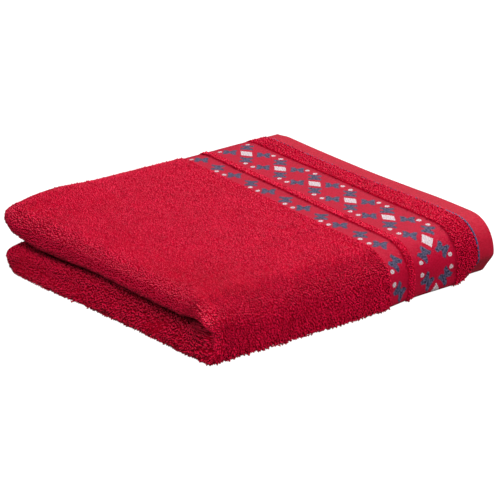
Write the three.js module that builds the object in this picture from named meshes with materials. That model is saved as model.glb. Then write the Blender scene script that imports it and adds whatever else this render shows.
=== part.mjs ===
// Folded bath towel: one terry cloth of 70 x 140 cm with a flat-woven border near each hem.
// It is folded crosswise twice, which makes four layers, and then once lengthwise, which
// makes eight. The solid is the cloth itself: its four-layer section is swept through the
// upper run, round the lengthwise fold and back along the lower run.
//
// X runs along the towel's length, from the crosswise folds (left) to the hems. Y runs from
// the lengthwise fold (front) to the open side. Z is up and the towel lies on Z = 0. While it
// is being shaped, X and Y start at the folds; the finished towel is moved so that the origin
// is under the middle of its bounding box. All sizes are millimetres.
import * as THREE from 'three';

// Cloth and stack
const CLOTH = 4.6;
const LAYER_PITCH = 6.9;
const HALF_STACK = CLOTH + 3 * LAYER_PITCH;
const FOLDED_LENGTH = 352;
const FLAT_WEAVE_RECESS = 1.0;

// Crosswise folds at the left and the hidden fold at the right
const NOSE_DEPTH = 16;
const INNER_FOLD_X = 14.5;
const RIGHT_FOLD_X = 350;
const SECOND_HEM_X = 349;

// Lengthwise fold at the front: a soft shoulder above, a squarer edge on the ground
const BEND_Y = 40;
const WIDEST_Z = 23;
const UPPER_POWER = 2.2;
const LOWER_POWER = 8;

// Open side
const UPPER_END_Y = 348;
const LOWER_END_Y = 313;

// Height of the folded towel
const HEIGHT = 56.5;

// The flat-woven bands of the border, by their distance from the crosswise folds
const FLAT_BANDS = [
  { from: 219, to: 243 },
  { from: 252, to: 305.5 },
  { from: 330.5, to: 360 },
];

// Broad slopes of the top: each adds its rise where both ramps have run out
const TOP_SLOPES = [
  { rise: -3.5, xFrom: 70, xTo: 5, yFrom: 200, yTo: 345 },
  { rise: 2.5, xFrom: 8, xTo: 40, yFrom: 270, yTo: 340 },
  { rise: -2.5, xFrom: 60, xTo: 115, yFrom: 270, yTo: 340 },
  { rise: 2.0, xFrom: 200, xTo: 280, yFrom: 310, yTo: 190 },
  { rise: -1.0, xFrom: 298, xTo: 335, yFrom: 310, yTo: 190 },
  { rise: 3.8, xFrom: 290, xTo: 340, yFrom: 210, yTo: 70 },
  { rise: -0.8, xFrom: 290, xTo: 350, yFrom: 150, yTo: 340 },
  { rise: -2.5, xFrom: -2, xTo: -1, yFrom: 328, yTo: 350 },
  { rise: 1.2, xFrom: -2, xTo: -1, yFrom: 130, yTo: 55 },
];

// Slides of the cloth along X: which half slides, how far, and the ramps along X and Y over
// which it comes in. The halves don't lie exactly on each other, their left corners are
// rounded, and the hem edge is drawn a little out of line.
const SLIDES = [
  { half: 'upper', by: -6, xFrom: 160, xTo: 0, yFrom: 30, yTo: 250 },
  { half: 'upper', by: 10, xFrom: 120, xTo: 0, yFrom: 318, yTo: 350 },
  { half: 'upper', by: -3, xFrom: 120, xTo: 0, yFrom: 240, yTo: 300 },
  { half: 'upper', by: -3.5, xFrom: 300, xTo: 350, yFrom: 60, yTo: 260 },
  { half: 'lower', by: -3.5, xFrom: 160, xTo: 0, yFrom: 320, yTo: 240 },
  { half: 'lower', by: 7, xFrom: 120, xTo: 0, yFrom: 290, yTo: 316 },
  { half: 'both', by: 2, xFrom: 300, xTo: 350, yFrom: 80, yTo: 0 },
];

// The lower half lies askew: it reaches further left the further it is from the front
const LOWER_SKEW = 0.085;

// The left lobes, over this reach along X: how far the lower one is pressed out on the ground,
// evenly and at its two ends, how far the upper one hangs over, and how far the lower one
// leans back under it
const LOBE_REACH = 110;
const GROUND_PRESS = 3;
const NEAR_PRESS = 6;
const FAR_PRESS = 9;
const OVERHANG = 7;
const LEAN = 12;

// How far the underside of the front fold is drawn back by the border and by the hem
const BORDER_DRAW = 7;
const HEM_DRAW = 12;

// Soft ramp from 0 at start to 1 at end
function ramp(start, end, value) {
  const t = Math.min(Math.max((value - start) / (end - start), 0), 1);
  return t * t * (3 - 2 * t);
}

function topHeight(x, y) {
  let z = HEIGHT;
  for (const slope of TOP_SLOPES) {
    z += slope.rise * ramp(slope.xFrom, slope.xTo, x) * ramp(slope.yFrom, slope.yTo, y);
  }
  return z;
}

// Height at which the two halves meet: half of the top's, and more towards the near left
// corner
function meetingHeight(x, y) {
  const leftRise = 0.03 + 0.09 * ramp(250, 160, y) + 0.03 * ramp(76, 36, y);
  return topHeight(x, y) * (0.5 + leftRise * ramp(LOBE_REACH, 0, x));
}

// The two halves lie closest at the front and open a little towards the far left
function halfGap(x, y) {
  return (1.2 + 2.0 * ramp(220, 0, x) * ramp(120, 330, y)) / 2;
}

function farLeft(x, y) {
  return ramp(LOBE_REACH, 0, x) * ramp(180, 300, y);
}

// The front face stands out at the left and steps back towards the hems
function frontY(x) {
  return -4 + 5.5 * ramp(185, 265, x);
}

// Where each layer ends on the open side: the inner layers reach a little further,
// and no selvedge is quite straight
function endY(x, depth, upper) {
  const stagger = 5 * depth / HALF_STACK;
  const wave = 1.2 * Math.sin(x / 52 + depth * 0.3 + (upper ? 0 : 2));
  return (upper ? UPPER_END_Y : LOWER_END_Y + 0.07 * x) + stagger + wave;
}

// A point of the lengthwise fold. The layers lie on nested rounded squares, and at the left
// end the space inside them rises towards the front.
function bendPoint(x, depth, angle) {
  const inward = depth / HALF_STACK;
  const height = topHeight(x, BEND_Y);
  const meeting = meetingHeight(x, BEND_Y);
  const level = WIDEST_Z + (meeting - WIDEST_Z) * Math.max(inward, 0.8 * ramp(70, 5, x));
  const above = height - inward * (height - meeting - halfGap(x, BEND_Y)) - level;
  const below = level - inward * (meeting - halfGap(x, BEND_Y));
  const squeeze = 0.72 + 0.16 * ramp(150, 350, x) - 0.62 * ramp(20, 3, x);
  const across = (BEND_Y - frontY(x)) * (1 - squeeze * inward);
  const upright = angle > 0 ? above : below;
  const power = angle > 0 ? UPPER_POWER : LOWER_POWER;
  const c = Math.cos(angle);
  const s = Math.sin(angle);
  const sum = Math.abs(c / across) ** power + Math.abs(s / upright) ** power;
  const radius = sum ** (-1 / power);
  const y = BEND_Y - radius * c;
  const lifted = 7 * inward * ramp(BEND_Y, -6, y) * ramp(50, 5, x);
  return { y, z: level + radius * s + lifted };
}

// A point of the upper or lower run, at a share of the way to the open side
function runPoint(x, depth, share, upper) {
  const y = BEND_Y + share * (endY(x, depth, upper) - BEND_Y);
  const height = topHeight(x, y);
  const meeting = meetingHeight(x, y);
  const thickness = (upper ? height - meeting : meeting) - halfGap(x, y);
  const inset = depth / HALF_STACK * thickness;
  const far = farLeft(x, y);
  return { y, z: upper ? height - inset * (1 + 0.12 * far) : inset * (1 - 0.24 * far) };
}

// How far the cloth slides along X. lower is 0 on the upper half and 1 on the lower one.
function slide(x, y, lower) {
  const share = { upper: 1 - lower, lower, both: 1 };
  let shift = -lower * LOWER_SKEW * (y - 10) * ramp(5, 60, y);
  for (const row of SLIDES) {
    shift += share[row.half] * row.by * ramp(row.xFrom, row.xTo, x) * ramp(row.yFrom, row.yTo, y);
  }
  return shift;
}

// How far the left lobes are pushed along X. under is 1 on the cloth that faces the ground.
function lobePush(x, y, depth, lower, under) {
  const inward = depth / HALF_STACK;
  const outside = Math.max(1 - 2 * inward, 0);
  const inside = Math.max(2 * inward - 1, 0);
  const press = GROUND_PRESS + NEAR_PRESS * ramp(90, 0, y) + FAR_PRESS * ramp(150, 310, y);
  const pressed = under * outside * Math.min(x / NOSE_DEPTH, 1) * press;
  const overhang = (1 - lower) * inside * OVERHANG * ramp(335, 260, y);
  const lean = lower * ramp(0.05, 0.6, inward) * LEAN * ramp(320, 250, y) * ramp(0, 40, y);
  return ramp(LOBE_REACH, 14, x) * (lean - overhang - pressed);
}

// Place one point of the cloth. x and depth are its place in the four-layer section. The
// station says how far round the lengthwise fold it is (90 degrees on the upper run, -90 on
// the lower) and its share of the way to the open side.
function place(x, depth, station) {
  const upper = station.degrees > 0;
  const point = station.share > 0
    ? runPoint(x, depth, station.share, upper)
    : bendPoint(x, depth, THREE.MathUtils.degToRad(station.degrees));
  const lower = ramp(60, -60, station.degrees);
  const under = ramp(10, -90, station.degrees);
  const borderDraw = BORDER_DRAW * ramp(200, 275, x) * under;
  const hemDraw = HEM_DRAW * ramp(304, 336, x) * ramp(5, -30, station.degrees);
  const drawnBack = (borderDraw + hemDraw) * ramp(60, 10, point.y);
  const y = point.y + drawnBack * (1 - depth / HALF_STACK);
  const shift = slide(x, y, lower) + lobePush(x, y, depth, lower, under);
  return [x + shift, y, Math.max(point.z, 0)];
}

// 1 on the flat-woven bands, 0 on the terry
function isFlatWoven(x) {
  return FLAT_BANDS.some((band) => x > band.from && x < band.to) ? 1 : 0;
}

// Stations along a bordered layer, with a small step at every edge of a band
function borderedStations(shift) {
  const plain = [NOSE_DEPTH, 40, 85, 130, 175, 278, 318];
  const steps = [];
  for (const band of FLAT_BANDS) {
    steps.push(band.from - 0.4, band.from + 0.4);
    if (band.to < FOLDED_LENGTH) steps.push(band.to - 0.4, band.to + 0.4);
  }
  const stations = [...plain, ...steps, FOLDED_LENGTH].sort((a, b) => a - b);
  return stations.map((x) => Math.max(x + shift, NOSE_DEPTH));
}

function plainStations(start, end) {
  return [start, 55, 100, 145, 190, 235, 280, 318, end];
}

// Part of an ellipse in the section, from one angle to another (degrees, 0 points to +X)
function arc(centre, radiusX, radiusDepth, from, to, count) {
  const points = [];
  for (let i = 1; i < count; i += 1) {
    const a = THREE.MathUtils.degToRad(from + (to - from) * i / count);
    points.push([centre[0] + radiusX * Math.cos(a), centre[1] + radiusDepth * Math.sin(a)]);
  }
  return points;
}

// One face of a bordered layer: sunk where the cloth is flat-woven
function borderedFace(depth, inward, shift) {
  return borderedStations(shift).map((x) => {
    const sunk = isFlatWoven(x - shift) * FLAT_WEAVE_RECESS * inward;
    return [x, depth + sunk];
  });
}

function plainFace(depth, start, end) {
  return plainStations(start, end).map((x) => [x, depth]);
}

// Closed outline of the four-layer section, as [x, depth below the outer face]
function sectionOutline() {
  const pitch = LAYER_PITCH;
  const middle = HALF_STACK / 2;
  const tight = (pitch - CLOTH) / 2;
  const wide = (pitch + CLOTH) / 2;
  const rightX = RIGHT_FOLD_X - wide;
  const rightDepth = 2.5 * pitch + CLOTH / 2;
  const hemShift = SECOND_HEM_X - FOLDED_LENGTH;
  const nose = [NOSE_DEPTH, middle];
  const inner = [INNER_FOLD_X, middle];
  const right = [rightX, rightDepth];
  const start = NOSE_DEPTH;

  // the side of the cloth seen from outside, from the first hem to the second
  const outside = [
    ...borderedFace(0, 1, 0).reverse(),
    ...arc(nose, NOSE_DEPTH, middle, 270, 90, 9),
    ...plainFace(HALF_STACK, start, rightX),
    ...arc(right, wide, wide, 90, -90, 5),
    ...plainFace(2 * pitch, start + 2, rightX).reverse(),
    ...arc(inner, tight, tight, 90, 270, 4),
    ...borderedFace(pitch + CLOTH, -1, hemShift),
  ];
  // the other side, back from the second hem to the first
  const inside = [
    ...borderedFace(pitch, 1, hemShift).reverse(),
    ...arc(inner, wide, wide, 270, 90, 5),
    ...plainFace(2 * pitch + CLOTH, start + 2, rightX),
    ...arc(right, tight, tight, 90, -90, 4),
    ...plainFace(3 * pitch, start, rightX).reverse(),
    ...arc(nose, NOSE_DEPTH - CLOTH, middle - CLOTH, 90, 270, 7),
    ...borderedFace(CLOTH, -1, 0),
  ];
  return [...outside, ...inside];
}

// Stations over the towel's width, from the upper selvedge round the lengthwise fold to the
// lower one. They are close together at the fold, most of all round its squarer lower edge.
function widthStations() {
  const shares = [1, 0.98, 0.935, 0.865, 0.765, 0.65, 0.525, 0.4, 0.28, 0.17, 0.08];
  const round = [90, 68, 50, 36, 24, 12, 0, -14, -22, -27.5, -32, -40, -58, -90];
  return [
    ...shares.map((share) => ({ degrees: 90, share })),
    ...round.map((degrees) => ({ degrees, share: 0 })),
    ...shares.map((share) => ({ degrees: -90, share })).reverse(),
  ];
}

function towelGeometry() {
  const outline = sectionOutline();
  const stations = widthStations();
  const size = outline.length;
  const positions = [];
  for (const station of stations) {
    for (const [x, depth] of outline) positions.push(...place(x, depth, station));
  }
  const faces = [];
  for (let ring = 0; ring < stations.length - 1; ring += 1) {
    for (let i = 0; i < size; i += 1) {
      const a = ring * size + i;
      const b = ring * size + (i + 1) % size;
      faces.push(a, b, a + size, b, b + size, a + size);
    }
  }
  const contour = outline.map(([x, depth]) => new THREE.Vector2(x, depth));
  const last = (stations.length - 1) * size;
  for (const [a, b, c] of THREE.ShapeUtils.triangulateShape(contour, [])) {
    faces.push(a, b, c, last + a, last + c, last + b);
  }
  const geometry = new THREE.BufferGeometry();
  geometry.setAttribute('position', new THREE.Float32BufferAttribute(positions, 3));
  geometry.setIndex(faces);
  geometry.computeBoundingBox();
  const middle = geometry.boundingBox.getCenter(new THREE.Vector3());
  geometry.translate(-middle.x, -middle.y, 0);
  geometry.computeVertexNormals();
  return geometry;
}

const terryRed = new THREE.MeshStandardMaterial({
  color: 0xb00c2c,
  roughness: 0.95,
  metalness: 0,
});

const towel = new THREE.Mesh(towelGeometry(), terryRed);
towel.name = 'towel';

const foldedTowel = new THREE.Group();
foldedTowel.name = 'folded_bath_towel';
foldedTowel.add(towel);

export default foldedTowel;
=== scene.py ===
"""A folded bath towel of terry cloth with a flat-woven border, lying on a pale floor.

The towel is modelled flat, as it was woven: a thin slab of cloth, loops of pile and a line of
stitches. All of it is then folded by one function, which gives the cloth its eight layers.
Sizes are in millimetres until a point is placed.
"""

import math

import bmesh
import bpy
import numpy as np
from mathutils import Matrix


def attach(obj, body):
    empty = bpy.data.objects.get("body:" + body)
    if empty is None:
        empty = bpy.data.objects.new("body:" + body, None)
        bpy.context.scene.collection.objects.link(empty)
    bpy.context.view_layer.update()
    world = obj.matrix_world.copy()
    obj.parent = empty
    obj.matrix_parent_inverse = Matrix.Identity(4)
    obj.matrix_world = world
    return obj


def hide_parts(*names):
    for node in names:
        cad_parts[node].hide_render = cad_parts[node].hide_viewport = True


MM = 0.001

# The cloth and its stack, as in the solid
TOWEL_WIDTH = 700.0
FOLDED_LENGTH = 352.0
LAYER = 4.6
PITCH = 6.9
STACK = LAYER + 3 * PITCH
NOSE = 16.0
INNER_FOLD_X = 14.5
RIGHT_FOLD_X = 350.0 - (PITCH + LAYER) / 2
SECOND_HEM_X = 349.0
BEND_Y = 40.0
BEND_START = 303.0
BEND_END = 418.0
WIDEST_Z = 23.0
UPPER_POWER = 2.2
LOWER_POWER = 8.0
UPPER_END_Y = 348.0
LOWER_END_Y = 313.0
HEIGHT = 56.5
MIDDLE_X = 165.86
MIDDLE_Y = 175.10

# A ramp that is full all along the towel
ALL_ALONG = (-2, -1)

# Broad slopes of the top: rise, ramp along X, ramp along Y
TOP_SLOPES = (
    (-3.5, (70, 5), (200, 345)),
    (2.5, (8, 40), (270, 340)),
    (-2.5, (60, 115), (270, 340)),
    (2.0, (200, 280), (310, 190)),
    (-1.0, (298, 335), (310, 190)),
    (3.8, (290, 340), (210, 70)),
    (-0.8, (290, 350), (150, 340)),
    (-2.5, ALL_ALONG, (328, 350)),
    (1.2, ALL_ALONG, (130, 55)),
)

# Slides of the cloth along the towel: half, how far, ramp along X, ramp along Y
SLIDES = (
    ("upper", -6.0, (160, 0), (30, 250)),
    ("upper", 10.0, (120, 0), (318, 350)),
    ("upper", -3.0, (120, 0), (240, 300)),
    ("upper", -3.5, (300, 350), (60, 260)),
    ("lower", -3.5, (160, 0), (320, 240)),
    ("lower", 7.0, (120, 0), (290, 316)),
    ("both", 2.0, (300, 350), (80, 0)),
)
LOWER_SKEW = 0.085

# The left lobes: reach along X, pressed out on the ground, hanging over, leaning back
LOBE_REACH = 110.0
GROUND_PRESS = 3.0
NEAR_PRESS = 6.0
FAR_PRESS = 9.0
OVERHANG = 7.0
LEAN = 12.0

# How far the underside of the front fold is drawn back by the border and by the hem
BORDER_DRAW = 7.0
HEM_DRAW = 12.0

# Small creases at the near left corner
WRINKLE_HEIGHT = 1.1
WRINKLE_SPACING = 4.4
RIDGE_HEIGHT = 2.2
DENT_DEPTH = 9.0

# No point of the cloth or its pile is lower than this
LOWEST = 0.1

# The slab of cloth: half its thickness with the pile, the ground's drop where the loops are long,
# the bands' drop and how much of it is taken back low on the front fold, the edges' rounding
CLOTH_HALF = 2.0
GROUND_DROP = 0.6
BAND_DROP = 1.4
BAND_LIFT_LOW = 1.2
EDGE_ROUND = 1.5
STEP_SOFTNESS = 0.8

# Border, by distance from the crosswise folds
BAND_ONE = (219.0, 243.0)
BAND_TWO = (252.0, 305.5)
HEM = (330.5, 352.0)
STITCH_X = 331.5
DIAMOND_X = 279.5
HALF_MOTIF_X = 242.3
DIAMOND_ACROSS = 319.3
REPEAT = 57.15

# Shapes of the border, by distance along and across the towel from the middle of a diamond
THREAD = 0.8
DIAMOND_REACH = (7.0, 10.0)
BOW_PLACE = (11.4, 14.3)
BOW_REACH = (10.6, 12.2)
DOT_PLACE = (18.5, 22.3)
DOT_RADIUS = 2.4
DOT_MIDDLE_RADIUS = 0.7

# The border is drawn a little out of line over the fold: cloth position, place in the section
STRETCH = (
    (0.0, 0.0),
    (240.0, 240.0),
    (305.0, 311.0),
    (320.0, 326.0),
    (334.0, 338.4),
    (362.0, 367.0),
    (378.0, 385.0),
    (700.0, 700.0),
)

# Pile: the loop's yarn and half width, the size of clumps along and across, and what is uneven
YARN_RADIUS = 0.58
LOOP_HALF_WIDTH = 0.85
LONGER_AT_BENDS = 0.25
CLUMP = (2.6, 11.0)
CLUMP_LIFT = 0.24
LOOP_LIFT = 0.13
SIZE_SPREAD = 0.13
TURN_SPREAD = 0.45
LEAN_SPREAD = 0.35
PLACE_SPREAD = 0.2
RUFFLE = 1.2
FOOT_HEIGHT = 2.85
FOOT_DROP = 1.2

# Shade of the yarn, 0 dark to 1 light: at the foot, painted highlight at the tip, and what is uneven
FOOT_SHADE = 0.25
TIP_PAINTED_HIGHLIGHT = 0.46
# Painted shade that follows the clumps: darker where they lie low, lighter where they are lifted
CLUMP_PAINTED_SHADE = 0.1
SHADE_SPREAD = 0.15

# Stitches of the hem: half sizes, spacing, height over the middle of the cloth
STITCH_SHAPE = (1.1, 2.5, 0.9)
STITCH_SPACING = 4.0
STITCH_COUNT = 174
STITCH_START = 3.0
STITCH_HEIGHT = 1.35

# Darker and lighter colour of each yarn or weave
COLOURS = {
    # Painted shade: the dark ground between loops. Painted highlight: the pile's lighter colour at loop
    # tips.
    "ground": ((0.045, 0.0001, 0.0015), (0.10, 0.0004, 0.004)),
    "pile": ((0.084, 0.0002, 0.0025), (0.188, 0.0014, 0.0135)),
    "hem": ((0.070, 0.0007, 0.0036), (0.102, 0.0026, 0.008)),
    "band": ((0.065, 0.0002, 0.003), (0.092, 0.0009, 0.007)),
    "blue": ((0.0016, 0.0018, 0.0055), (0.024, 0.0205, 0.036)),
    "white": ((0.060, 0.044, 0.049), (0.145, 0.122, 0.127)),
    "stitching": ((0.003, 0.005, 0.014), (0.016, 0.022, 0.048)),
}
DOT_MIDDLE_COLOUR = (0.098, 0.054, 0.066)

# Soft lamps: name, place in metres, size, power, whether they show in gloss
LAMPS = (
    ("key", (0.85, 0.65, 1.85), 1.3, 220, True),
    ("front", (-0.68, -1.62, 1.5), 0.8, 160, False),
    ("right", (1.5, -1.3, 0.9), 0.7, 108, False),
    ("side", (-1.5, 0.1, 1.5), 0.7, 52, True),
)


def ramp(start, end, value):
    """Soft ramp from 0 at start to 1 at end."""
    t = np.clip((value - start) / (end - start), 0, 1)
    return t * t * (3 - 2 * t)


def top_height(x, y):
    """Height of the towel's top."""
    z = HEIGHT + 0 * (x + y)
    for rise, along_x, along_y in TOP_SLOPES:
        z = z + rise * ramp(*along_x, x) * ramp(*along_y, y)
    return z


def gap(x, y):
    """Space between the upper and the lower half."""
    return 1.2 + 2.0 * ramp(220, 0, x) * ramp(120, 330, y)


def middle(x, y):
    """Height at which the two halves meet."""
    left_rise = 0.03 + 0.09 * ramp(250, 160, y) + 0.03 * ramp(76, 36, y)
    return top_height(x, y) * (0.5 + left_rise * ramp(LOBE_REACH, 0, x))


def far_left(x, y):
    """1 at the far end of the left lobes, 0 away from it."""
    return ramp(LOBE_REACH, 0, x) * ramp(180, 300, y)


def front_y(x):
    """How far forward the lengthwise fold comes."""
    return -4 + 5.5 * ramp(185, 265, x)


def end_y(x, depth, upper):
    """Where the open selvedges lie, with a slight wave."""
    wave = 1.2 * np.sin(x / 52 + depth * 0.3 + np.where(upper, 0, 2))
    return np.where(upper, UPPER_END_Y, LOWER_END_Y + 0.07 * x) + 5 * depth / STACK + wave


def bend_point(x, depth, angle):
    """Layers of the lengthwise fold lie on nested rounded squares, squarer at the bottom."""
    inward = depth / STACK
    height = top_height(x, BEND_Y)
    meeting = middle(x, BEND_Y)
    half_gap = gap(x, BEND_Y) / 2
    level = WIDEST_Z + (meeting - WIDEST_Z) * np.maximum(inward, 0.8 * ramp(70, 5, x))
    above = height - inward * (height - meeting - half_gap) - level
    below = level - inward * (meeting - half_gap)
    squeeze = 0.72 + 0.16 * ramp(150, 350, x) - 0.62 * ramp(20, 3, x)
    across = (BEND_Y - front_y(x)) * (1 - squeeze * inward)
    upright = np.where(angle > 0, above, below)
    power = np.where(angle > 0, UPPER_POWER, LOWER_POWER)
    c = np.cos(angle)
    s = np.sin(angle)
    radius = (np.abs(c / across) ** power + np.abs(s / upright) ** power) ** (-1 / power)
    y = BEND_Y - radius * c
    lifted = 7 * inward * ramp(BEND_Y, -6, y) * ramp(50, 5, x)
    return y, level + radius * s + lifted


def bend_angles():
    """Angles round the lengthwise fold, and the share of its outer face passed at each."""
    angle = np.linspace(math.pi / 2, -math.pi / 2, 361)
    y, z = bend_point(280.0, 0.0, angle)
    passed = np.append(0, np.cumsum(np.hypot(np.diff(y), np.diff(z))))
    return angle, passed / passed[-1]


def run_point(x, depth, beyond, upper):
    """A point of the upper or lower run, some way beyond the lengthwise fold."""
    length = np.where(upper, BEND_START, TOWEL_WIDTH - BEND_END)
    y = BEND_Y + beyond / length * (end_y(x, depth, upper) - BEND_Y)
    height = top_height(x, y)
    level = middle(x, y)
    inset = depth / STACK * (np.where(upper, height - level, level) - gap(x, y) / 2)
    top = height - inset * (1 + 0.12 * far_left(x, y))
    return y, np.where(upper, top, inset * (1 - 0.24 * far_left(x, y)))


def slide(x, y, lower):
    """How far the cloth slides along the towel."""
    share = {"upper": 1 - lower, "lower": lower, "both": 1.0}
    shift = -lower * LOWER_SKEW * (y - 10) * ramp(5, 60, y)
    for half, by, along_x, along_y in SLIDES:
        shift = shift + share[half] * by * ramp(*along_x, x) * ramp(*along_y, y)
    return shift


def lobe_push(x, y, depth, lower, under):
    """How far the left lobes are pressed out on the ground, hang over, and lean back."""
    inward = depth / STACK
    outside = np.maximum(1 - 2 * inward, 0)
    inside = np.maximum(2 * inward - 1, 0)
    press = GROUND_PRESS + NEAR_PRESS * ramp(90, 0, y) + FAR_PRESS * ramp(150, 310, y)
    pressed = under * outside * np.minimum(x / NOSE, 1) * press
    overhang = (1 - lower) * inside * OVERHANG * ramp(335, 260, y)
    lean = lower * ramp(0.05, 0.6, inward) * LEAN * ramp(320, 250, y) * ramp(0, 40, y)
    return ramp(LOBE_REACH, 14, x) * (lean - overhang - pressed)


def lay(x, depth, across):
    """Place points of the four-layer section, given how far across the towel they are."""
    upper = across < BEND_START
    in_bend = (across >= BEND_START) & (across <= BEND_END)
    angles, passed = bend_angles()
    angle = np.interp((across - BEND_START) / (BEND_END - BEND_START), passed, angles)
    bend = bend_point(x, depth, angle)
    run = run_point(x, depth, np.where(upper, BEND_START - across, across - BEND_END), upper)
    y = np.where(in_bend, bend[0], run[0])
    z = np.where(in_bend, bend[1], run[1])
    degrees = np.degrees(angle)
    lower = ramp(60, -60, degrees)
    under = ramp(10, -90, degrees)

    border_draw = BORDER_DRAW * ramp(200, 275, x) * under
    hem_draw = HEM_DRAW * ramp(304, 336, x) * ramp(5, -30, degrees)
    y = y + (border_draw + hem_draw) * ramp(60, 10, y) * (1 - depth / STACK)
    shift = slide(x, y, lower) + lobe_push(x, y, depth, lower, under)
    return x + shift, y, z


NOSE_LENGTH = math.pi * math.sqrt(((NOSE - LAYER / 2) ** 2 + (STACK / 2 - LAYER / 2) ** 2) / 2)
TIGHT_LENGTH = math.pi * PITCH / 2
LAYER_LENGTHS = (
    FOLDED_LENGTH - NOSE,
    NOSE_LENGTH,
    RIGHT_FOLD_X - NOSE,
    TIGHT_LENGTH,
    RIGHT_FOLD_X - INNER_FOLD_X,
    TIGHT_LENGTH,
    SECOND_HEM_X - INNER_FOLD_X,
)
STARTS = [sum(LAYER_LENGTHS[:i]) for i in range(8)]
TOWEL_LENGTH = STARTS[7]


def turn(part, centre, radius_x, radius_depth, start, end):
    """A point of a fold seen in the section, part of the way from one angle to another."""
    angle = np.radians(start + (end - start) * part)
    return centre[0] + radius_x * np.cos(angle), centre[1] + radius_depth * np.sin(angle)


def section(along, height):
    """Where a point of the flat cloth lies in the four-layer section.

    Height is measured from the middle of the cloth towards its outer face.
    """
    centre = STACK / 2
    half = LAYER / 2
    right = (RIGHT_FOLD_X, 2.5 * PITCH + half)
    inner = (INNER_FOLD_X, centre)
    step = [along - start for start in STARTS[:7]]
    part = [s / length for s, length in zip(step, LAYER_LENGTHS)]
    nose_x = NOSE - half + height
    nose_depth = centre - half + height
    wide = PITCH / 2 + height
    tight = PITCH / 2 - height
    pieces = (
        (FOLDED_LENGTH - step[0], half - height),
        turn(part[1], (NOSE, centre), nose_x, nose_depth, 270, 90),
        (NOSE + step[2], 3 * PITCH + half + height),
        turn(part[3], right, wide, wide, 90, -90),
        (RIGHT_FOLD_X - step[4], 2 * PITCH + half - height),
        turn(part[5], inner, tight, tight, 90, 270),
        (INNER_FOLD_X + step[6], PITCH + half + height),
    )
    which = np.clip(np.searchsorted(STARTS, along, side="right") - 1, 0, 6)
    x = np.choose(which, [piece[0] for piece in pieces])
    depth = np.choose(which, [piece[1] for piece in pieces])
    return x, depth


def corner_wrinkles(along, across):
    """Fine wrinkles that run round the shoulder at the near left corner."""
    near_nose = ramp(331, 337, along) * ramp(352, 347, along)
    where = near_nose * ramp(285, 305, across) * ramp(348, 335, across)
    return WRINKLE_HEIGHT * where * np.sin(2 * math.pi * along / WRINKLE_SPACING)


def corner_ridge(along, across):
    """1 along a slim ridge down the end of the lengthwise fold."""
    return ramp(340, 345, along) * ramp(353, 347, along) * ramp(338, 348, across) * ramp(388, 376, across)


def corner_dent(x, y, z):
    """How far the left end of the lengthwise fold is drawn in, over its middle height."""
    return DENT_DEPTH * ramp(26, 2, y) * ramp(44, 32, z) * ramp(2, 14, z) * ramp(34, 6, x)


def fold(flat):
    """Fold points of the flat cloth (along, across, height) and give them in metres."""
    along, across, height = flat.T
    height = height + corner_wrinkles(along, across) + RIDGE_HEIGHT * corner_ridge(along, across)
    x, depth = section(along, height)
    across = np.interp(across, *zip(*STRETCH))
    x, y, z = lay(x, depth, across)
    x = x + corner_dent(x, y, z)
    return np.stack((x - MIDDLE_X, y - MIDDLE_Y, np.maximum(z, LOWEST)), axis=1) * MM


# Meshes


def read_points(mesh):
    """Places of all points, one row each."""
    places = np.empty(len(mesh.vertices) * 3)
    mesh.vertices.foreach_get("co", places)
    return places.reshape(-1, 3)


def write_points(mesh, places):
    """Move all points to their new places."""
    mesh.vertices.foreach_set("co", np.ascontiguousarray(places, dtype=np.float32).ravel())
    mesh.update()


def add_cloth_map(mesh, flat):
    """UV map in metres over the flat cloth: along the towel, across the towel."""
    corners = np.empty(len(mesh.loops), dtype=np.int32)
    mesh.loops.foreach_get("vertex_index", corners)
    layer = mesh.uv_layers.new(name="cloth")
    layer.data.foreach_set("uv", (flat[corners, :2] * MM).astype(np.float32).ravel())


def new_piece(mesh, name):
    """A mesh's object, at the origin."""
    piece = bpy.data.objects.new(name, mesh)
    bpy.context.scene.collection.objects.link(piece)
    return piece


def mesh_from(bm, name):
    """A finished bmesh as a mesh."""
    mesh = bpy.data.meshes.new(name)
    bm.to_mesh(mesh)
    bm.free()
    return mesh


def face_outward(mesh):
    """Turn all faces of a closed mesh outwards."""
    bm = bmesh.new()
    bm.from_mesh(mesh)
    bmesh.ops.recalc_face_normals(bm, faces=bm.faces)
    bm.to_mesh(mesh)
    bm.free()


def stations(table):
    """Grid lines from rows of: end of the stretch, steps in it."""
    lines = [0.0]
    for end, steps in table:
        start = lines[-1]
        lines += [start + (end - start) * (i + 1) / steps for i in range(steps)]
    return np.array(lines)


def lines_along():
    """Grid lines along the towel, closer at the border's steps and at the folds."""
    return stations((
        (EDGE_ROUND, 2),
        (20.5, 8),
        (22.5, 4),
        (45.5, 10),
        (47.5, 4),
        (99.0, 18),
        (101.0, 4),
        (108.0, 4),
        (110.0, 4),
        (132.0, 9),
        (134.0, 4),
        (STARTS[1], 50),
        (STARTS[2], 18),
        (STARTS[2] + 60, 10),
        (STARTS[3], 24),
        (STARTS[4], 8),
        (STARTS[5], 26),
        (STARTS[6], 8),
        (TOWEL_LENGTH - EDGE_ROUND, 26),
        (TOWEL_LENGTH, 2),
    ))


def lines_across():
    """Grid lines across the towel, closer round the lengthwise fold."""
    return stations((
        (EDGE_ROUND, 2),
        (30, 8),
        (BEND_START, 50),
        (397, 38),
        (670, 50),
        (TOWEL_WIDTH - EDGE_ROUND, 8),
        (TOWEL_WIDTH, 2),
    ))


def from_folds(along):
    """Distance from the crosswise folds, towards the nearer hem."""
    return FOLDED_LENGTH - np.minimum(along, TOWEL_LENGTH - along)


def flat_woven(along):
    """1 where the cloth is woven flat, 0 where it has pile, with short soft steps."""
    x = from_folds(along)
    soft = STEP_SOFTNESS
    inside = np.zeros_like(x)
    for low, high in (BAND_ONE, BAND_TWO, (HEM[0], HEM[1] + 10)):
        from_low = ramp(low - soft, low + soft, x)
        to_high = ramp(high + soft, high - soft, x)
        inside = np.maximum(inside, from_low * to_high)
    return inside


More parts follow.
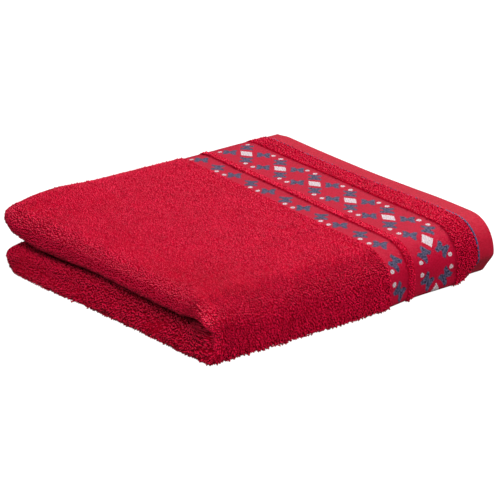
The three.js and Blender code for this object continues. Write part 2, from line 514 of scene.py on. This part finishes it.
def cloth_thickness(along, across):
    """Half the thickness of the slab, without the loops."""
    lobe = ramp(325, 345, along) * ramp(415, 395, along)
    ground = CLOTH_HALF - GROUND_DROP * np.maximum(lobe, ramp(295, 335, across))
    woven = CLOTH_HALF - BAND_DROP + BAND_LIFT_LOW * ramp(360, 380, across)
    thickness = ground + (woven - ground) * flat_woven(along)
    far_from_end = np.minimum(along, TOWEL_LENGTH - along)
    far_from_side = np.minimum(across, TOWEL_WIDTH - across)
    from_edge = np.minimum(far_from_end, far_from_side)
    return thickness * (0.5 + 0.5 * ramp(0, EDGE_ROUND, from_edge))


def make_cloth():
    """The woven slab of the whole towel, folded."""
    along = lines_along()
    across = lines_across()
    bm = bmesh.new()
    bmesh.ops.create_grid(bm, x_segments=len(along) - 1, y_segments=len(across) - 1, size=0.5)
    bmesh.ops.solidify(bm, geom=bm.faces[:], thickness=1.0)
    mesh = mesh_from(bm, "terry_cloth")
    places = read_points(mesh)
    side = np.where(places[:, 2] > places[:, 2].mean(), 1.0, -1.0)
    flat = np.empty_like(places)
    flat[:, 0] = np.interp(places[:, 0], np.linspace(-0.5, 0.5, len(along)), along)
    flat[:, 1] = np.interp(places[:, 1], np.linspace(-0.5, 0.5, len(across)), across)
    flat[:, 2] = side * cloth_thickness(flat[:, 0], flat[:, 1])
    add_cloth_map(mesh, flat)
    write_points(mesh, fold(flat))
    face_outward(mesh)
    mesh.shade_smooth()
    for paint in (terry_paint(), border_paint(), hem_paint()):
        mesh.materials.append(paint)
    woven = np.array([face_weave(face) for face in cloth_face_places(mesh)], dtype=np.int32)
    mesh.polygons.foreach_set("material_index", woven)
    return new_piece(mesh, "terry_cloth")


def cloth_face_places(mesh):
    """How far along the towel the middle of each face is."""
    uv = np.empty(len(mesh.loops) * 2, dtype=np.float32)
    mesh.uv_layers["cloth"].data.foreach_get("uv", uv)
    return uv.reshape(-1, 4, 2)[:, :, 0].mean(axis=1) / MM


def face_weave(along):
    """Material of a face: 0 terry, 1 patterned border, 2 hem."""
    x = from_folds(along)
    if x > HEM[0]:
        return 2
    bordered = BAND_ONE[0] < x < BAND_ONE[1] or BAND_TWO[0] < x < BAND_TWO[1]
    return 1 if bordered else 0


# Pile

# Stretches of pile: name, seed, along the towel, across it, spacing along and across, loop size
PILE = (
    ("pile_top_far", 1, (134.0, 236.0), (1.5, 176.0), (1.6, 2.1), 1.0),
    ("pile_top_near", 2, (134.0, 236.0), (176.0, 318.0), (1.6, 2.1), 1.0),
    ("pile_top_left_far", 12, (236.0, 338.0), (1.5, 176.0), (1.6, 2.1), 1.0),
    ("pile_top_left_near", 13, (236.0, 338.0), (176.0, 318.0), (1.6, 2.1), 1.0),
    ("pile_front", 3, (134.0, 338.0), (318.0, 440.0), (1.6, 2.1), 1.0),
    ("pile_lobes_upper", 4, (338.0, 402.0), (1.5, 350.0), (1.7, 2.2), 1.0),
    ("pile_lobes_lower", 14, (338.0, 402.0), (350.0, 698.5), (1.8, 2.3), 1.05),
    ("pile_strip_inner", 5, (101.5, 108.5), (1.5, 432.0), (1.55, 2.1), 1.2),
    ("pile_strip_outer_top", 6, (20.0, 45.8), (1.5, 285.0), (1.6, 2.1), 1.0),
    ("pile_strip_outer", 7, (22.0, 46.5), (285.0, 432.0), (1.6, 2.1), 1.0),
    ("pile_strip_inner_under", 8, (101.5, 108.5), (432.0, 698.5), (2.3, 3.0), 1.15),
    ("pile_strip_outer_under", 9, (22.0, 46.5), (432.0, 698.5), (2.3, 3.0), 1.15),
    ("pile_under", 10, (134.0, 338.0), (440.0, 698.5), (2.3, 3.0), 1.15),
    ("pile_right_folds", 11, (690.0, 716.0), (1.5, 698.5), (2.3, 3.0), 1.2),
)


def loop_growth(along, across):
    """Loops stand out more over the lengthwise fold and at the lobes, where the cloth is bent."""
    lobe = ramp(322, 348, along) * (0.4 + 1.1 * ramp(335, 375, across))
    return 1 + LONGER_AT_BENDS * np.maximum(ramp(290, 335, across), lobe)


def ground_edge(along, across):
    """1 where the outer folds meet the ground and the loops are ruffled."""
    front = ramp(366, 376, across) * ramp(405, 392, across)
    lobe = ramp(334, 340, along) * ramp(360, 350, along) * ramp(380, 420, across)
    return np.maximum(front, lobe)


def pile_tone_and_painted_light(along, across):
    """Painted highlight round the upper lobe and ridge, painted shade on top at the near left corner."""
    lobe = ramp(328, 345, along) * ramp(310, 265, across)
    corner = ramp(240, 310, along) * ramp(345, 330, along)
    corner = corner * ramp(205, 260, across) * ramp(335, 310, across)
    return FOOT_SHADE + 0.2 * lobe + 0.3 * corner_ridge(along, across) - 0.28 * corner


def make_loop():
    """One closed arch of yarn, standing on the cloth and bent across the towel."""
    bm = bmesh.new()
    bmesh.ops.create_circle(bm, cap_ends=True, segments=3, radius=YARN_RADIUS)
    bmesh.ops.translate(bm, verts=bm.verts[:], vec=(-LOOP_HALF_WIDTH, 0, 0))
    shape = bm.verts[:] + bm.edges[:] + bm.faces[:]
    bmesh.ops.spin(bm, geom=shape, cent=(0, 0, 0), axis=(0, 1, 0), angle=math.pi, steps=2)
    bmesh.ops.scale(bm, verts=bm.verts[:], vec=(1, 1, 0.95))
    bmesh.ops.recalc_face_normals(bm, faces=bm.faces)
    return mesh_from(bm, "pile_loop")


def repeat_along_and_across(mesh, name, counts, spacing):
    """Joined copies of a small mesh, in rows."""
    piece = new_piece(mesh, name)
    steps = ((spacing[0], 0, 0), (0, spacing[1], 0))
    for count, step in zip(counts, steps):
        array = piece.modifiers.new("rows", "ARRAY")
        array.use_relative_offset = False
        array.use_constant_offset = True
        array.constant_offset_displace = step
        array.count = count
    bpy.context.view_layer.update()
    graph = bpy.context.evaluated_depsgraph_get()
    joined = bpy.data.meshes.new_from_object(piece.evaluated_get(graph))
    piece.modifiers.clear()
    piece.data = joined
    joined.name = name
    return piece


def lumps(flat, size, random):
    """Soft uneven noise over the flat cloth, about -1 to 1, from random values on a coarse grid."""
    place = flat[:, :2] / np.array(size)
    cell = np.floor(place).astype(int)
    part = ramp(0, 1, place - cell)
    lowest = cell.min(axis=0)
    spread = cell.max(axis=0) - lowest + 2
    values = random.uniform(-1, 1, spread)
    i, j = (cell - lowest).T
    low = values[i, j] + (values[i + 1, j] - values[i, j]) * part[:, 0]
    high = values[i, j + 1] + (values[i + 1, j + 1] - values[i, j + 1]) * part[:, 0]
    return low + (high - low) * part[:, 1]


def loop_feet(counts, spacing):
    """Where each loop stands, from the first one, and which rows are the odd ones."""
    column = np.tile(np.arange(counts[0]), counts[1])
    row = np.repeat(np.arange(counts[1]), counts[0])
    return np.stack((column * spacing[0], row * spacing[1]), axis=1), row % 2


def toss_loops(places, foot, odd, spacing, size, uneven, random):
    """Turn, size, lean and shift each loop on its own, around its own foot."""
    total = len(foot)
    local = places.reshape(total, -1, 3)
    local[:, :, :2] -= foot[:, None, :]
    clump = lumps(foot, CLUMP, random)
    angle = math.pi / 2 + random.normal(0, TURN_SPREAD, total)
    own_size = size * (1 + uneven * random.uniform(-SIZE_SPREAD, SIZE_SPREAD, total))
    lean = random.normal(0, LEAN_SPREAD, (total, 2))
    jitter = random.normal(0, PLACE_SPREAD, (total, 2)) * spacing
    rise = CLUMP_LIFT * clump + random.normal(0, LOOP_LIFT, total)
    lift = size * uneven * rise + FOOT_HEIGHT - FOOT_DROP * size
    cosine = np.cos(angle)[:, None]
    sine = np.sin(angle)[:, None]
    x = local[:, :, 0] * cosine - local[:, :, 1] * sine
    y = local[:, :, 0] * sine + local[:, :, 1] * cosine
    z = local[:, :, 2]
    foot = foot + jitter
    foot[:, 0] += odd * spacing[0] / 2
    x = x * own_size[:, None] + z * lean[:, :1] + foot[:, :1]
    y = y * own_size[:, None] + z * lean[:, 1:] + foot[:, 1:]
    z = z * own_size[:, None] + lift[:, None]
    # Painted shade on low clumps, painted highlight at the loop tips, and random tone
    shade = CLUMP_PAINTED_SHADE * clump + random.normal(0, SHADE_SPREAD, total)
    shade = shade[:, None] + TIP_PAINTED_HIGHLIGHT * local[:, :, 2] / local[:, :, 2].max()
    return np.stack((x, y, z), axis=2).reshape(-1, 3), shade


def add_shades(mesh, shade):
    """Shade of the yarn, with painted highlight at the tip of each loop, kept on its points."""
    attribute = mesh.attributes.new("yarn_shade_and_painted_light", "FLOAT", "POINT")
    attribute.data.foreach_set("value", shade.astype(np.float32))


def grow_pile(name, seed, along, across, spacing, scale, paint):
    """One stretch of pile: rows of loops on the flat cloth, tossed and folded with it."""
    lengths = (along[1] - along[0], across[1] - across[0])
    counts = [round(length / step) for length, step in zip(lengths, spacing)]
    spacing = [length / count for length, count in zip(lengths, counts)]
    piece = repeat_along_and_across(make_loop(), name, counts, spacing)
    random = np.random.default_rng(seed)
    start = np.array((along[0] + spacing[0] / 4, across[0] + spacing[1] / 2))
    foot, odd = loop_feet(counts, spacing)
    where = (foot + start).T
    size = scale * loop_growth(*where)
    uneven = 1 + RUFFLE * ground_edge(*where)
    places = read_points(piece.data)
    flat, shade = toss_loops(places, foot, odd, np.array(spacing), size, uneven, random)
    # Painted highlight round the upper lobe and ridge, painted shade at the near left corner
    shade = np.clip(shade + pile_tone_and_painted_light(*where)[:, None], 0, 1).ravel()
    flat[:, :2] += start
    flat[:, 1] = np.clip(flat[:, 1], 0, TOWEL_WIDTH)
    add_cloth_map(piece.data, flat)
    add_shades(piece.data, shade)
    write_points(piece.data, fold(flat))
    piece.data.shade_smooth()
    piece.data.materials.append(paint)
    return piece


# Stitches


def make_stitches(paint):
    """A line of short stitches holding the hem, at the edge of the outer strip of pile."""
    bm = bmesh.new()
    bmesh.ops.create_uvsphere(bm, u_segments=6, v_segments=5, radius=1)
    lying = Matrix.Rotation(math.pi / 2, 3, "X")
    bmesh.ops.rotate(bm, verts=bm.verts[:], cent=(0, 0, 0), matrix=lying)
    bmesh.ops.scale(bm, verts=bm.verts[:], vec=STITCH_SHAPE)
    mesh = mesh_from(bm, "stitch")
    piece = repeat_along_and_across(mesh, "hem_stitches", (1, STITCH_COUNT), (1.0, STITCH_SPACING))
    flat = read_points(piece.data)
    flat[:, 0] += FOLDED_LENGTH - STITCH_X
    flat[:, 1] += STITCH_START
    flat[:, 2] += STITCH_HEIGHT
    add_cloth_map(piece.data, flat)
    write_points(piece.data, fold(flat))
    piece.data.shade_smooth()
    piece.data.materials.append(paint)
    return piece


# Materials


def new_paint(name, rough, gloss):
    """A new material, its node tree and its shader."""
    paint = bpy.data.materials.new(name)
    paint.use_nodes = True
    tree = paint.node_tree
    shader = tree.nodes["Principled BSDF"]
    shader.inputs["Roughness"].default_value = rough
    shader.inputs["Specular IOR Level"].default_value = gloss
    return paint, tree, shader


def plug(tree, socket, value):
    """Give a socket a number or another node's output."""
    if isinstance(value, (int, float)):
        socket.default_value = value
    else:
        tree.links.new(value, socket)


def math_node(tree, operation, *values):
    """One step of arithmetic on numbers or outputs."""
    node = tree.nodes.new("ShaderNodeMath")
    node.operation = operation
    for socket, value in zip(node.inputs, values):
        plug(tree, socket, value)
    return node.outputs[0]


def mix_colours(tree, share, first, second):
    """The first colour where the share is 0, the second where it is 1."""
    node = tree.nodes.new("ShaderNodeMix")
    node.data_type = "RGBA"
    plug(tree, node.inputs[0], share)
    for socket, value in zip(node.inputs[6:8], (first, second)):
        if isinstance(value, tuple):
            socket.default_value = (*value, 1)
        else:
            tree.links.new(value, socket)
    return node.outputs[2]


def cloth_coordinates(tree):
    """Position on the flat cloth in metres, and as two distances in millimetres."""
    uv = tree.nodes.new("ShaderNodeUVMap")
    uv.uv_map = "cloth"
    split = tree.nodes.new("ShaderNodeSeparateXYZ")
    tree.links.new(uv.outputs[0], split.inputs[0])
    along = math_node(tree, "MULTIPLY", split.outputs[0], 1000)
    across = math_node(tree, "MULTIPLY", split.outputs[1], 1000)
    return uv.outputs[0], along, across


def noise(tree, place, scale, detail=2.0):
    """Uneven values from 0 to 1, the finer the larger the scale."""
    node = tree.nodes.new("ShaderNodeTexNoise")
    tree.links.new(place, node.inputs["Vector"])
    node.inputs["Scale"].default_value = scale
    node.inputs["Detail"].default_value = detail
    return node.outputs["Fac"]


def add_bump(tree, shader, height, distance):
    """Fine relief, as deep as the distance in metres."""
    bump = tree.nodes.new("ShaderNodeBump")
    bump.inputs["Distance"].default_value = distance
    bump.inputs["Strength"].default_value = 0.8
    tree.links.new(height, bump.inputs["Height"])
    tree.links.new(bump.outputs[0], shader.inputs["Normal"])


def weave_height(tree, along, across, thread, slant):
    """Fine slanted ribs of a twill, from 0 to 1."""
    slanted = math_node(tree, "MULTIPLY_ADD", across, slant, along)
    wave = math_node(tree, "SINE", math_node(tree, "MULTIPLY", slanted, 2 * math.pi / thread))
    cross = math_node(tree, "SINE", math_node(tree, "MULTIPLY", across, 2 * math.pi / thread))
    return math_node(tree, "MULTIPLY_ADD", math_node(tree, "MULTIPLY", wave, cross), 0.5, 0.5)


def terry_paint():
    """The ground between the loops, painted darker than their tips as shade in the pits."""
    paint, tree, shader = new_paint("terry ground", 0.95, 0.0)
    place, _, _ = cloth_coordinates(tree)
    grain = noise(tree, place, 900, 3.0)
    colour = mix_colours(tree, grain, *COLOURS["ground"])
    tree.links.new(colour, shader.inputs["Base Color"])
    add_bump(tree, shader, grain, 0.0012)
    return paint


def pile_paint():
    """Yarn of the loops with painted highlight at their tips, uneven in patches and in its fibres."""
    paint, tree, shader = new_paint("terry pile", 0.6, 0.055)
    shade = tree.nodes.new("ShaderNodeAttribute")
    shade.attribute_name = "yarn_shade_and_painted_light"
    place, _, _ = cloth_coordinates(tree)
    patch = noise(tree, place, 35, 2.0)
    lit = math_node(tree, "MULTIPLY", shade.outputs["Fac"], 0.75)
    share = math_node(tree, "MULTIPLY_ADD", patch, 0.5, lit)
    fibre = noise(tree, place, 900, 1.0)
    share = math_node(tree, "MULTIPLY_ADD", fibre, 1.2, math_node(tree, "SUBTRACT", share, 0.7))
    colour = mix_colours(tree, share, *COLOURS["pile"])
    tree.links.new(colour, shader.inputs["Base Color"])
    add_bump(tree, shader, fibre, 0.0004)
    return paint


def hem_paint():
    """Smooth turned hem with a fine twill."""
    paint, tree, shader = new_paint("hem twill", 0.6, 0.028)
    place, along, across = cloth_coordinates(tree)
    twill = weave_height(tree, along, across, 1.1, 1.0)
    patch = noise(tree, place, 120, 3.0)
    fine = noise(tree, place, 600, 3.0)
    share = math_node(tree, "MULTIPLY_ADD", patch, 0.8, -0.5)
    share = math_node(tree, "MULTIPLY_ADD", fine, 1.2, share)
    colour = mix_colours(tree, share, *COLOURS["hem"])
    tree.links.new(colour, shader.inputs["Base Color"])
    add_bump(tree, shader, twill, 0.0003)
    return paint


def motif_place(tree, along, across):
    """Distances from the middle of the nearest diamond, counted in whole threads."""
    nearer = math_node(tree, "MINIMUM", along, math_node(tree, "SUBTRACT", TOWEL_LENGTH, along))
    x = math_node(tree, "SNAP", math_node(tree, "SUBTRACT", FOLDED_LENGTH, nearer), THREAD)
    y = math_node(tree, "SNAP", across, THREAD)
    strip = math_node(tree, "GREATER_THAN", x, (BAND_ONE[1] + BAND_TWO[0]) / 2)
    centre = math_node(tree, "MULTIPLY_ADD", strip, DIAMOND_X - HALF_MOTIF_X, HALF_MOTIF_X)
    aside = math_node(tree, "ABSOLUTE", math_node(tree, "SUBTRACT", x, centre))
    repeats = math_node(tree, "DIVIDE", math_node(tree, "SUBTRACT", y, DIAMOND_ACROSS), REPEAT)
    nearest = math_node(tree, "ROUND", repeats)
    away = math_node(tree, "SUBTRACT", repeats, nearest)
    away = math_node(tree, "ABSOLUTE", math_node(tree, "MULTIPLY", away, REPEAT))
    return aside, away, strip


def diamond_mask(tree, aside, away, strip):
    """1 inside a diamond of the wide band."""
    p = math_node(tree, "DIVIDE", aside, DIAMOND_REACH[0])
    q = math_node(tree, "DIVIDE", away, DIAMOND_REACH[1])
    reach = math_node(tree, "ADD", p, q)
    return math_node(tree, "MULTIPLY", math_node(tree, "LESS_THAN", reach, 1.0), strip)


def bow_mask(tree, aside, away):
    """A bow tie that points away from the diamond, with a narrow waist and notched ends."""
    p = math_node(tree, "DIVIDE", math_node(tree, "SUBTRACT", aside, BOW_PLACE[0]), BOW_REACH[0])
    q = math_node(tree, "DIVIDE", math_node(tree, "SUBTRACT", away, BOW_PLACE[1]), BOW_REACH[1])
    outward = math_node(tree, "ABSOLUTE", math_node(tree, "ADD", p, q))
    sideways = math_node(tree, "ABSOLUTE", math_node(tree, "SUBTRACT", p, q))
    wide = math_node(tree, "MINIMUM", math_node(tree, "MULTIPLY_ADD", outward, 1.25, 0.32), 0.86)
    long = math_node(tree, "MULTIPLY_ADD", sideways, 0.14, 0.80)
    inside = math_node(tree, "LESS_THAN", sideways, wide)
    return math_node(tree, "MULTIPLY", inside, math_node(tree, "LESS_THAN", outward, long))


def dot_masks(tree, aside, away):
    """A round dot, and the darker thread end in its middle."""
    p = math_node(tree, "SUBTRACT", aside, DOT_PLACE[0])
    q = math_node(tree, "SUBTRACT", away, DOT_PLACE[1])
    squares = math_node(tree, "MULTIPLY_ADD", p, p, math_node(tree, "MULTIPLY", q, q))
    distance = math_node(tree, "SQRT", squares)
    inside = math_node(tree, "LESS_THAN", distance, DOT_RADIUS)
    return inside, math_node(tree, "LESS_THAN", distance, DOT_MIDDLE_RADIUS)


def border_paint():
    """Flat-woven band with diamonds, bow ties and dots."""
    paint, tree, shader = new_paint("patterned border", 0.65, 0.028)
    place, along, across = cloth_coordinates(tree)
    aside, away, strip = motif_place(tree, along, across)
    twill = weave_height(tree, along, across, 1.2, 0.0)
    fine = noise(tree, place, 600, 3.0)
    broad = noise(tree, place, 60, 2.0)
    share = math_node(tree, "MULTIPLY_ADD", broad, 0.5, -0.75)
    share = math_node(tree, "MULTIPLY_ADD", fine, 2.0, share)
    red = mix_colours(tree, share, *COLOURS["band"])
    mottled = math_node(tree, "MULTIPLY_ADD", noise(tree, place, 550, 2.0), 3.2, -1.1)
    blue = mix_colours(tree, mottled, *COLOURS["blue"])
    hatch = math_node(tree, "MULTIPLY_ADD", weave_height(tree, along, across, 2.4, 0.0), 0.6, fine)
    hatch = math_node(tree, "MULTIPLY_ADD", hatch, 1.4, -0.6)
    white = mix_colours(tree, hatch, *COLOURS["white"])
    colour = mix_colours(tree, bow_mask(tree, aside, away), red, blue)
    colour = mix_colours(tree, diamond_mask(tree, aside, away, strip), colour, white)
    dot, dot_middle = dot_masks(tree, aside, away)
    colour = mix_colours(tree, dot, colour, white)
    colour = mix_colours(tree, dot_middle, colour, DOT_MIDDLE_COLOUR)
    tree.links.new(colour, shader.inputs["Base Color"])
    add_bump(tree, shader, math_node(tree, "ADD", twill, fine), 0.0003)
    return paint


def stitch_paint():
    """Thread of the hem's stitches."""
    paint, tree, shader = new_paint("blue stitching", 0.7, 0.1)
    place, _, _ = cloth_coordinates(tree)
    colour = mix_colours(tree, noise(tree, place, 1200, 2.0), *COLOURS["stitching"])
    tree.links.new(colour, shader.inputs["Base Color"])
    return paint


def floor_paint():
    """White with its own light, so that it stays white in any lamp's shade."""
    paint, _, shader = new_paint("lit white floor", 0.9, 0.0)
    shader.inputs["Base Color"].default_value = (0.03, 0.03, 0.03, 1)
    shader.inputs["Emission Color"].default_value = (1, 1, 1, 1)
    shader.inputs["Emission Strength"].default_value = 1.0
    return paint


# Surroundings


def add_camera():
    """A long lens, looking down on the near left corner."""
    data = bpy.data.cameras.new("camera")
    data.lens = 200
    data.sensor_width = 36
    data.clip_end = 50
    camera = bpy.data.objects.new("camera", data)
    bpy.context.scene.collection.objects.link(camera)
    pitch = 0.39166
    turn_to_corner = 0.641853
    aside = -40.167
    away = 2318.614
    above = 1075.562
    x = -aside * math.cos(turn_to_corner) - away * math.sin(turn_to_corner) - MIDDLE_X
    y = aside * math.sin(turn_to_corner) - away * math.cos(turn_to_corner) - MIDDLE_Y
    camera.location = (x * MM, y * MM, above * MM)
    camera.rotation_euler = (math.pi / 2 - pitch, 0, -turn_to_corner)
    bpy.context.scene.camera = camera


def add_floor():
    """A wide plain floor, which doesn't show in the cloth's sheen."""
    bm = bmesh.new()
    bmesh.ops.create_grid(bm, x_segments=1, y_segments=1, size=6)
    floor = new_piece(mesh_from(bm, "floor"), "floor")
    floor.data.materials.append(floor_paint())
    floor.visible_glossy = False


def add_softbox(name, place, size, power, seen_in_gloss):
    """A round soft lamp, aimed at the towel."""
    data = bpy.data.lights.new(name, "AREA")
    data.shape = "DISK"
    data.size = size
    data.energy = power
    lamp = bpy.data.objects.new(name, data)
    bpy.context.scene.collection.objects.link(lamp)
    lamp.visible_glossy = seen_in_gloss
    lamp.location = place
    level = math.hypot(place[0], place[1])
    lamp.rotation_euler = (math.atan2(level, place[2]), 0, math.atan2(place[0], -place[1]))


def add_studio():
    """Dim white surroundings, the lamps and plain display colours."""
    world = bpy.data.worlds.new("studio")
    world.use_nodes = True
    sky = world.node_tree.nodes["Background"]
    sky.inputs["Color"].default_value = (1, 1, 1, 1)
    sky.inputs["Strength"].default_value = 0.3
    bpy.context.scene.world = world
    for lamp in LAMPS:
        add_softbox(*lamp)
    bpy.context.scene.view_settings.view_transform = "Standard"
    bpy.context.scene.view_settings.look = "None"


def make_towel():
    """The cloth with its pile and stitches, in place of the solid."""
    cloth = make_cloth()
    paint = pile_paint()
    parts = [grow_pile(*row, paint) for row in PILE]
    parts.append(make_stitches(stitch_paint()))
    for piece in (cloth, *parts):
        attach(piece, "root")
    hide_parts("towel")


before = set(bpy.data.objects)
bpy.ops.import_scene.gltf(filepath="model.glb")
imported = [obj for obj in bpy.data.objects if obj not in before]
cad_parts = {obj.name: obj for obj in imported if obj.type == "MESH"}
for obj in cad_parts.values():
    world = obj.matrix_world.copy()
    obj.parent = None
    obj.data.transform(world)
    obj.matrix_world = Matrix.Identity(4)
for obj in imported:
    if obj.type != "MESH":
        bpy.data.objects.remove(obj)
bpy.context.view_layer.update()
add_camera()
add_floor()
add_studio()
make_towel()
